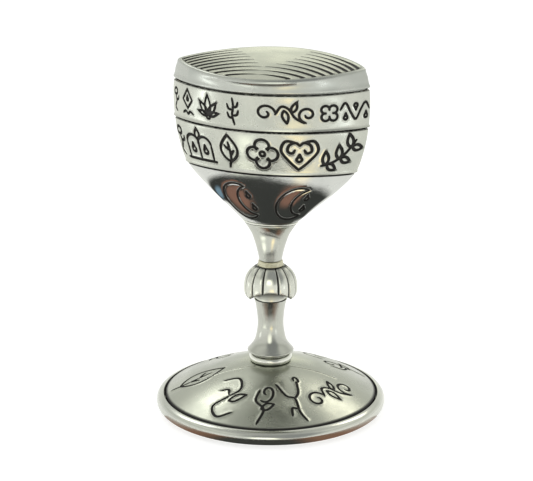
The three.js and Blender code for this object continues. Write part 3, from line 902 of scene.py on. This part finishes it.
def band(name, node, low_joint, high_joint, ornaments, half, tongue):
    """A shell of the bowl with ornaments cut into its outer face."""
    low = low_joint + GROOVE_HALF
    high = high_joint - GROOVE_HALF
    middle = (low + high) / 2
    seam = TURN / 4
    fine = np.linspace(seam, seam + TURN, 4001)
    run = run_lengths(ring_points(wall(middle, 0), fine))
    length = run[-1]
    angles = seam + TURN * np.arange(LENS_COUNT + 1) / LENS_COUNT
    columns = np.interp(angles, fine, run)

    def on_band(p):
        over = np.minimum(p[:, 0], 0) + np.maximum(p[:, 0] - length, 0)
        angle = np.interp(p[:, 0], run, fine) + over / 12
        z = p[:, 1]
        swell = band_offset(z, low, high)
        x = (half_width(z) + TIP_STRETCH * swell) * np.cos(angle)
        y = (half_depth(z) + swell) * pointed(np.sin(angle), pointedness(z))
        return np.stack([x, y, z], 1)

    def inside(p, margin):
        return ((p[:, 0] > -0.01 + margin) & (p[:, 0] < length + 0.01 - margin)
                & (p[:, 1] > low - 0.01 + margin) & (p[:, 1] < high + 0.01 - margin))

    def flat_row(at, z):
        return np.column_stack([at, np.full(len(at), z)])

    rows = low + np.concatenate([[0.0, 0.12, 0.3, 0.6, 1.0, 1.5],
                                 np.arange(2.4, high - low - 1.2, 0.95),
                                 high - low - np.array([0.8, 0.45, 0.2, 0.0])])
    ends = np.array([0.0, length])
    fixed = np.vstack([flat_row(columns, z) for z in (*rows[:3], *rows[-3:])]
                      + [flat_row(ends, z) for z in rows[3:-3]])
    grid = np.vstack([flat_row(columns[1:-1], z) for z in rows[3:-3]])
    strokes = []
    for share, ornament, height, stretch, lift in ornaments:
        for back in (0, 1):
            # the front runs from the left tip (a quarter round) to the right tip
            at = length * ((0.25 + 0.5 * share + 0.5 * back) % 1.0)
            shape = place(ornament(), at, middle + lift, height, 0, stretch)
            strokes += [stroke(path, half) for path in shape]
    points, faces, patina_and_shade = engrave(
        fixed, grid, strokes, inside, with_normals(on_band), 0.66, 0.11)
    # Painted shade: the band's top and bottom edges are blackened so the seams between shells read
    # dark; partly also oxidised black in the seams.
    seam_tarnish_and_shade = np.maximum(np.clip((points[:, 2] - high + 0.42) / 0.1, 0, 1),
                            np.clip((low + 0.2 - points[:, 2]) / 0.08, 0, 1))
    shell(name, node, SATIN, (points, faces, np.maximum(patina_and_shade, seam_tarnish_and_shade)),
          on_band(flat_row(columns[:-1], high)), tongue(low, high), angles[:-1],
          on_band(flat_row(columns[:-1], low)))


UPPER_ORNAMENTS = (  # share of the front, ornament, height, stretch, lift
    (0.045, bud, 12.0, 1.0, 0.2), (0.137, lozenge_drop, 13.4, 1.0, 0.2),
    (0.262, palmette, 13.0, 1.0, 0.0), (0.390, sprig, 13.4, 1.0, 0.0),
    (0.615, running_scroll, 13.2, 1.12, 0.0), (0.882, flower_and_wave, 13.0, 1.06, 0.0))
LOWER_ORNAMENTS = (
    (0.040, bud, 14.5, 1.0, 0.8), (0.170, arcade, 16.2, 1.0, 0.8),
    (0.345, veined_leaf, 17.0, 1.0, 0.0), (0.510, quatrefoil, 17.5, 1.0, 0.0),
    (0.682, curled_heart, 16.0, 1.2, 0.0), (0.868, laurel, 15.5, 0.9, 0.2))


def lower_tongue(low, high):
    """Inside of the lower band: tongue above, wall, and rebate below."""
    joint = low - GROOVE_HALF
    roof = joint - GROOVE_HALF + 1.8
    return [wall(high, 1.1), wall(high + 1.5, 1.1), wall(high + 1.5, WALL), wall(high - 6, WALL),
            wall(low + 8, WALL), wall(roof, WALL), wall(roof, 0.8), wall(low, 0.8)]


def upper_tongue(low, high):
    """Inside of the upper band: ledge for the liner, wall, and rebate below."""
    joint = low - GROOVE_HALF
    roof = joint - GROOVE_HALF + 1.8
    ledge = high - 1.8
    return [wall(high, 0.9), wall(ledge, 0.9), wall(ledge, WALL), wall(ledge - 6, WALL),
            wall(roof, WALL), wall(roof, 0.8), wall(low, 0.8)]


def bowl_lower():
    """The mirror-bright lower bowl, engraved on the developed cone of its side."""
    low = Z_BOWL
    high = Z_JOINT_LOWER - GROOVE_HALF
    floor = low + 3.0
    fine = np.linspace(-math.pi, 0, 721)
    heights = np.linspace(low, high, 60)
    runs = [run_lengths(ring_points(wall(z, 0), fine)) for z in heights]
    radius = np.array([run[-1] for run in runs]) / math.pi
    slant = np.concatenate([[0], np.cumsum(np.hypot(np.diff(radius), np.diff(heights)))])
    length = slant[-1]
    cone_ratio = (radius[-1] - radius[0]) / length
    first = radius[0] / cone_ratio
    half_turn = math.pi * cone_ratio  # the developed angle of half the bowl
    shares = np.array([run / run[-1] for run in runs])

    def on_cone(p):
        reach = np.linalg.norm(p, axis=1) - first
        over = np.minimum(reach, 0) + np.maximum(reach - length, 0)
        z = np.interp(reach, slant, heights) + 0.6 * over
        turn = np.arctan2(p[:, 0], p[:, 1]) / half_turn + 0.5  # 0..1 over the front
        side = np.floor(turn)
        share = turn - side
        row = np.clip(np.interp(z, heights, np.arange(len(heights))), 0, len(heights) - 1.001)
        base = row.astype(int)
        angle = np.empty(len(p))
        for k in np.unique(base):
            chosen = base == k
            a = np.interp(share[chosen], shares[k], fine)
            b = np.interp(share[chosen], shares[k + 1], fine)
            angle[chosen] = a + (b - a) * (row - base)[chosen]
        angle = angle + side * math.pi
        at = np.clip(z, low, high)
        return np.stack([half_width(at) * np.cos(angle),
                         half_depth(at) * pointed(np.sin(angle), pointedness(at)), z], 1)

    def polar(reach, turn):
        return np.stack([(first + reach) * np.sin(turn), (first + reach) * np.cos(turn)], 1)

    turns = np.linspace(-half_turn, half_turn, LENS_COUNT + 1)
    reaches = np.concatenate([[0, 0.35], np.arange(1.3, length - 0.8, 1.0),
                              [length - 0.35, length]])
    fixed = np.vstack([polar(r, turns) for r in (*reaches[:2], *reaches[-2:])]
                      + [polar(reaches[2:-2], side) for side in (-half_turn, half_turn)])
    grid = np.vstack([polar(r, turns[1:-1]) for r in reaches[2:-2]])

    def inside(p, margin):
        r = np.linalg.norm(p, axis=1)
        turn = np.abs(np.arctan2(p[:, 0], p[:, 1]))
        return ((r - first > margin - 0.02) & (r - first < length + 0.02 - margin)
                & (turn * r < half_turn * r - margin + 0.01))

    strokes = []
    for share, reach, height in ((0.282, 14.0, 22.0), (0.690, 13.8, 20.5)):
        # the seam is at the back, so the back pair is split to either side
        for at in (share - 0.5, share - 1.5 if share > 0.5 else share + 0.5):
            turn = at * half_turn
            centre = polar(np.array([reach]), np.array([turn]))[0]
            shape = place(crescent(), *centre, height, -math.degrees(turn), 0.85)
            strokes += [stroke(path, 0.64, 0.5) for path in shape]
    engraved = engrave(fixed, grid, strokes, inside, with_normals(on_cone, -1), 0.6, 0.08)
    rings = ([wall(high, 1.1), wall(high + 1.5, 1.1), wall(high + 1.5, WALL)]
             + [wall(z, WALL) for z in np.linspace(high, floor + 1.6, 12)]
             + [round_ring(11, floor), round_ring(5.3, floor), round_ring(5.3, low)])
    border = on_cone(polar(np.full(LENS_COUNT, length), turns[:-1]))
    shell("bowl_lower_polished", "bowl_lower", MIRROR, engraved, border, rings,
          lens_angles(border, high), on_cone(polar(np.zeros(LENS_COUNT), turns[:-1])))


def lens_angles(points, z):
    """The plan angles of points that lie on the bowl's surface at height z."""
    angle = np.arccos(np.clip(points[:, 0] / half_width(z), -1, 1))
    return np.where(points[:, 1] < 0, -angle, angle)


def bowl_liner():
    flange = level("bowl_liner", 1) - 1.1
    low = level("bowl_liner", 0)
    outer = [wall(z, 4.0) for z in np.linspace(112, flange - 0.3, 12)]
    inner = [wall(z, 5.0) for z in np.linspace(flange + 0.8, 113, 12)]
    rings = ([(19.0, 8.6, 0.3, low, 0), (20.1, 9.5, 0.3, low + 0.5, 0)] + outer
             + [wall(flange, 3.7), wall(flange, 1.4), wall(flange + 0.3, 1.2),
                wall(flange + 0.8, 1.2), wall(flange + 1.1, 1.5), wall(flange + 1.1, 4.7)]
             + inner + [(18.6, 8.2, 0.3, low + 1.6, 0), (16.6, 6.4, 0.3, low + 1.0, 0)])
    solid("bowl_liner_gilt", rings, LENS_COUNT // 2, GILT, "bowl_liner", yaw=True,
          on_axis=True)


# ---- Lid

PLATE_INSET = 1.6


def shoulder(inset, z):
    """A ring of the lid's slanted shoulder."""
    return wall(z, inset, LID_SLANT, Z_LID_RIM)


def lid_skirt():
    low = Z_JOINT_LID + GROOVE_HALF
    foot = level("lid_skirt", 0)
    top = Z_LID_RIM
    rings = ([wall(foot, 1.3), wall(low, 1.3), wall(low, 0.3), wall(low + 0.1, 0.0),
              wall(low + 0.3, -0.22), wall(low + 0.8, -0.3), wall(low + 1.5, -0.12)]
             + [wall(z, 0, LID_SLANT * k * 0.5) for z, k in ((low + 2.6, 0.0), (low + 3.8, 0.1),
                                                            (low + 5.2, 0.5))]
             + [shoulder(0.05, top - 1.8), shoulder(0.1, top - 1.1), shoulder(0.28, top - 0.55),
                shoulder(0.6, top - 0.15), shoulder(1.0, top + 0.02), shoulder(1.35, top + 0.0),
                shoulder(PLATE_INSET, top - 0.12), shoulder(PLATE_INSET, top - 1.2),
                shoulder(2.8, top - 1.2), wall(low, 2.6), wall(foot, 2.6)])
    solid("lid_skirt_shell", rings, LENS_COUNT, SATIN_TOP, "lid_skirt",
          yaw=True)


def lid_plate():
    """The lid's top with long arcs cut into it, parallel to the back edge."""
    rim_w, rim_d, rim_m, _, _ = shoulder(PLATE_INSET + 0.12, Z_LID_RIM)

    def scale_of(p):
        """Size of the rim's outline that passes through a point, found by halving."""
        low = np.zeros(len(p))
        high = np.full(len(p), 1.3)
        for _ in range(26):
            scale = (low + high) / 2
            s = np.sqrt(np.clip(1 - (p[:, 0] / (rim_w * scale)) ** 2, 0, 1))
            reach = rim_d * scale * pointed(s, rim_m)
            outside = (np.abs(p[:, 0]) > rim_w * scale) | (np.abs(p[:, 1]) > reach)
            low = np.where(outside, scale, low)
            high = np.where(outside, high, scale)
        return (low + high) / 2

    def surface(p):
        height = (Z_LID_RIM + LID_CROWN * (1 - scale_of(p) ** 2) + LID_SLANT * p[:, 1] / rim_d)
        normal = np.array([0.0, -LID_SLANT / rim_d, 1.0])
        return np.column_stack([p, height]), np.tile(normal / np.linalg.norm(normal), (len(p), 1))

    def outline(scale, z, slant):
        ring = (rim_w * scale, rim_d * scale, rim_m, z, slant)
        return ring_points(ring, round_angles(LENS_COUNT))

    def inside(p, margin):
        return scale_of(p) < 1.0005 - margin / 18

    xs, ys = np.meshgrid(np.arange(-46, 46.1, 1.0), np.arange(-30, 30.1, 1.0))
    grid = np.column_stack([xs.ravel(), ys.ravel()])
    points, faces, patina_and_shade = engrave(
        outline(1, 0, 0)[:, :2], grid, lid_arcs(rim_w, rim_d, rim_m), inside, surface, 0.5, 0.08,
        0.45)

    seat = Z_LID_RIM - 0.9
    under = [outline(1, Z_LID_RIM, LID_SLANT), outline(1, seat, LID_SLANT)]
    for scale in (0.85, 0.65, 0.45, 0.25, 0.1):
        under.append(outline(scale, seat + LID_CROWN * (1 - scale ** 2), LID_SLANT * scale))
    quads = strips(len(under), LENS_COUNT, start=len(points))
    centre = len(points) + len(under) * LENS_COUNT
    last = centre - LENS_COUNT
    fan = [[centre, last + k, last + (k + 1) % LENS_COUNT] for k in range(LENS_COUNT)]
    everything = np.vstack([points] + under + [[[0, 0, seat + LID_CROWN]]])
    patina_and_shade = np.concatenate([patina_and_shade, np.zeros(len(everything) - len(patina_and_shade))])
    make_mesh("lid_plate_engraved", yawed(everything), faces + quads + fan, SATIN_PLATE,
              "lid_plate", patina_and_shade)


def lid_arcs(rim_w, rim_d, rim_m):
    """Strokes that widen towards the plate's edge and leave its middle plain."""
    count = 9
    pitch = 2 * rim_d / (count + 0.9)
    x = np.linspace(-rim_w, rim_w, 900)
    back_edge = rim_d * pointed(np.sqrt(np.clip(1 - (x / rim_w) ** 2, 0, 1)), rim_m)
    strokes = []
    for i in range(count):
        y = back_edge - (i + 0.75) * pitch
        for side, plain in ((-1, max(0.0, 21.7 - 3.3 * i)),
                            (1, max(0.0, 14.5 * (1 - (i / 6) ** 2)))):
            chosen = (y + back_edge > 1.0) & (x * side > plain)
            if chosen.sum() < 4:
                continue
            path = resample(np.column_stack([x, y])[chosen][::side], SAMPLE)
            t = np.linspace(0, 1, len(path))
            strokes.append((path, 0.2 + 1.05 * np.clip(t * 1.25, 0, 1) ** 0.7))
    return strokes


def lid_locating_ring():
    outer = 5.4
    inner = 6.6
    low = level("lid_locating_ring", 0)
    knee = Z_JOINT_LID + 2
    top = Z_LID_RIM - 1.0
    slant = LID_SLANT * 0.88
    rings = [wall(low, inner - 0.2), wall(low, outer + 0.3), wall(low + 0.3, outer),
             wall(knee, outer), wall(top, outer, slant), wall(top, inner, slant),
             wall(knee, inner), wall(low + 0.2, inner)]
    solid("lid_locating_ring_gilt", rings, LENS_COUNT // 2, GILT, "lid_locating_ring",
          yaw=True)


# ---- Pieces kept from the CAD model

def carried_over():
    """Hidden fastenings keep their CAD meshes, with rounded shading and real metals."""
    metals = {"bowl_boss": BRASS, "tie_rod": STEEL, "stem_upper_bush": BRASS, "knop_bush": BRASS,
              "stem_lower_bush": BRASS, "foot_clamp_plate": BRASS, "foot_spring_washer": STEEL,
              "foot_nut": BRASS}
    for name, made_of in metals.items():
        piece = frame["nodes"][name]
        piece.data.materials.clear()
        piece.data.materials.append(made_of)
        bevel = piece.modifiers.new("soft_edges", "BEVEL")
        bevel.width = 0.0002
        bevel.segments = 2
        bevel.limit_method = "ANGLE"
        bevel.angle_limit = math.radians(40)


# ---- Studio

def reflector(name, points, faces, color, masks):
    """A one-sided glowing sheet that only shows in reflections, faded by its masks."""
    mesh = bpy.data.meshes.new(name)
    mesh.from_pydata((np.asarray(points, float) * MM).tolist(), [], faces)
    sheet = put(name, mesh)
    material, tree, _ = new_material(name)
    mesh.materials.append(material)
    coords = add(tree, "TexCoord", {}, "Object")
    behind = add(tree, "NewGeometry", {}, "Backfacing")
    shown = add(tree, "Math", {0: 1.0, 1: behind}, operation="SUBTRACT")
    for centre, half_size, turn, clear, full in masks:
        local = add(tree, "Mapping", {
            "Vector": coords, "Location": (centre[0] * MM, centre[1] * MM, 0),
            "Rotation": (0, 0, math.radians(turn)),
            "Scale": (half_size[0] * MM, half_size[1] * MM, 1000)}, vector_type="TEXTURE")
        length = add(tree, "VectorMath", {0: local}, "Value", operation="LENGTH")
        shown = add(tree, "Math", {0: shown, 1: fade(tree, length, clear, full)},
                    operation="MULTIPLY")
    mix = add(tree, "MixShader", {0: shown, 1: add(tree, "BsdfTransparent", {}),
                                  2: add(tree, "Emission", {"Color": color})})
    tree.links.new(mix, tree.nodes["Material Output"].inputs["Surface"])
    tree.nodes.remove(tree.nodes["Principled BSDF"])
    for ray in ("visible_camera", "visible_diffuse", "visible_shadow", "visible_transmission"):
        setattr(sheet, ray, False)


def disc(name, centre, half, z, color, edge=0.4, turn=0.0, gaps=()):
    """A soft-edged oval lying flat and seen from above, with oval gaps (centre, half, turn)."""
    reach = 2 * max(half)
    x, y = centre
    corners = [(x - reach, y - reach, z), (x + reach, y - reach, z),
               (x + reach, y + reach, z), (x - reach, y + reach, z)]
    masks = [(centre, half, turn, 1.0, 1.0 - edge)]
    for middle, size, angle in gaps:
        masks.append((middle, size, angle, 0.92, 1.12))
    reflector(name, corners, [[0, 1, 2, 3]], color, masks)


def front_screen(name, profile, color, middle, spread_mm):
    """A strip swept round the front half of the foot; its inner side is the one seen."""
    angles = np.radians(np.linspace(-160, -20, 29))
    points = [(r * math.cos(a), r * math.sin(a), z) for r, z in profile for a in angles]
    count = len(angles)
    faces = [[k * count + i, k * count + i + 1, (k + 1) * count + i + 1, (k + 1) * count + i]
             for k in range(len(profile) - 1) for i in range(count - 1)]
    reflector(name, points, faces, color, [((middle, -60), (spread_mm, 1e6), 0, 1.0, 0.45)])


def soft_box(name, azimuth, elevation, size, radiance, color):
    """A square lamp aimed at the piece; azimuth is counted from +Y towards +X."""
    distance = 0.9
    a = math.radians(azimuth)
    e = math.radians(elevation)
    way = Vector((math.sin(a) * math.cos(e), math.cos(a) * math.cos(e), math.sin(e)))
    light = bpy.data.lights.new(name, "AREA")
    light.shape = "SQUARE"
    light.size = size
    light.energy = radiance * math.pi * size * size
    light.color = color
    lamp = put(name, light)
    lamp.location = Vector((0, 0, 0.09)) + way * distance
    lamp.rotation_euler = way.to_track_quat("Z", "Y").to_euler()


def white_room():
    """A world that is white at the horizon, greyer overhead and dark high up in front."""
    world = bpy.data.worlds.new("white_room")
    bpy.context.scene.world = world
    world.use_nodes = True
    tree = world.node_tree
    sky = add(tree, "TexCoord", {}, "Generated")
    shade = add(tree, "ValToRGB", {"Fac": add(tree, "SeparateXYZ", {0: sky}, "Z")})
    stops = ((0.0, (1.0, 1.0, 1.0)), (0.25, (0.97, 0.98, 0.95)), (0.45, (0.72, 0.73, 0.70)),
             (0.7, (0.92, 0.93, 0.89)), (1.0, (0.48, 0.49, 0.48)))
    elements = shade.node.color_ramp.elements
    for i, (at, color) in enumerate(stops):
        stop = elements[i] if i < 2 else elements.new(at)
        stop.position = at
        stop.color = (*color, 1)
    # direction, cosines of the outer and inner edge, colour
    patches = (((0.20, -0.80, 0.56), 0.70, 0.93, (0.38, 0.39, 0.40)),
               ((-0.12, -0.98, 0.10), 0.955, 0.985, (2.2, 2.2, 2.0)),
               ((0.03, 0.97, 0.24), 0.975, 0.995, (1.3, 1.32, 1.14)))
    for direction, outer, inner, color in patches:
        toward = add(tree, "VectorMath", {0: sky, 1: Vector(direction).normalized()}, "Value",
                     operation="DOT_PRODUCT")
        shade = blend_colors(tree, fade(tree, toward, outer, inner), shade, color)
    tree.links.new(shade, tree.nodes["Background"].inputs["Color"])


def studio():
    bpy.context.scene.view_settings.view_transform = "Standard"
    white_room()
    bpy.ops.mesh.primitive_plane_add(size=8.0, location=(0, 0, CAD_BOX[0][2] - 0.0004))
    floor = bpy.context.object
    floor.name = "floor"
    material, tree, shader = new_material("floor_paper")
    for key, value in (("Base Color", (0.6, 0.6, 0.6)), ("Roughness", 1.0),
                       ("Specular IOR Level", 0.0), ("Emission Color", (1.0, 1.0, 1.0)),
                       ("Emission Strength", 0.66)):
        feed(tree, shader.inputs[key], value)
    floor.data.materials.append(material)

    soft_box("box_left", -42, 46, 0.34, 1.9, (1.0, 1.0, 0.97))
    soft_box("box_right", 42, 42, 0.30, 1.9, (1.0, 0.95, 0.84))

    dark = (0.060, 0.063, 0.060)
    rose = (0.34, 0.185, 0.14)
    gaps = (((-6, 6), (24, 15), -20), ((32, 26), (32, 30), 0))
    disc("card_bowl_rose_left", (-31, -12), (19, 14), 97.9, rose, 0.6, -15)
    disc("card_bowl_rose_right", (9, -31), (13, 11), 97.8, rose, 0.6)
    disc("card_bowl_blue", (-38, 8), (6, 12), 97.7, (0.26, 0.40, 0.52), 0.6, -40)
    disc("card_bowl_dark", (-9, -6), (50, 40), 97.6, dark, 0.16, -10, gaps)
    disc("card_stem_dark", (0, -26), (15, 10.5), 30.0, dark, 0.35)
    disc("card_front_warm", (24, -215), (50, 100), 0.5, (2.3, 1.95, 1.3), 0.6)
    disc("card_near_left", (-125, -100), (34, 60), 0.6, (2.4, 2.45, 2.25), 0.6, 30)
    disc("card_right", (280, -270), (75, 60), 0.5, (3.0, 3.1, 3.2))
    disc("card_left", (-430, 0), (80, 95), 0.5, (3.3, 3.4, 3.4))
    front_screen("screen_rim_dark", [(88, 0.6), (56, 0.3)], dark, -6, 34)
    front_screen("screen_rim_rose", [(89, 0.5), (56, 0.2)], (0.30, 0.17, 0.12), -2, 80)
    front_screen("screen_rim_back", [(94, 0.5), (94, 20), (74, 24)], dark, -6, 80)


def camera():
    data = bpy.data.cameras.new("camera")
    data.lens = 133.4
    data.clip_start = 0.01
    data.shift_x = -0.0077
    shot = put("camera", data)
    shot.location = (0, -0.9402, 0.3773)
    shot.rotation_euler = (math.radians(90 - 17.17), 0, 0)
    bpy.context.scene.camera = shot


foot_dome()
foot_rim()
foot_collar()
stem_lower()
stem_upper()
bowl_flange()
knop()
knop_neck()
bowl_lower()
band("band_lower_engraved", "band_lower", Z_JOINT_LOWER, Z_JOINT_MIDDLE, LOWER_ORNAMENTS,
     0.82, lower_tongue)
band("band_upper_engraved", "band_upper", Z_JOINT_MIDDLE, Z_JOINT_LID, UPPER_ORNAMENTS,
     0.7, upper_tongue)
bowl_liner()
lid_skirt()
lid_plate()
lid_locating_ring()
carried_over()
studio()
camera()
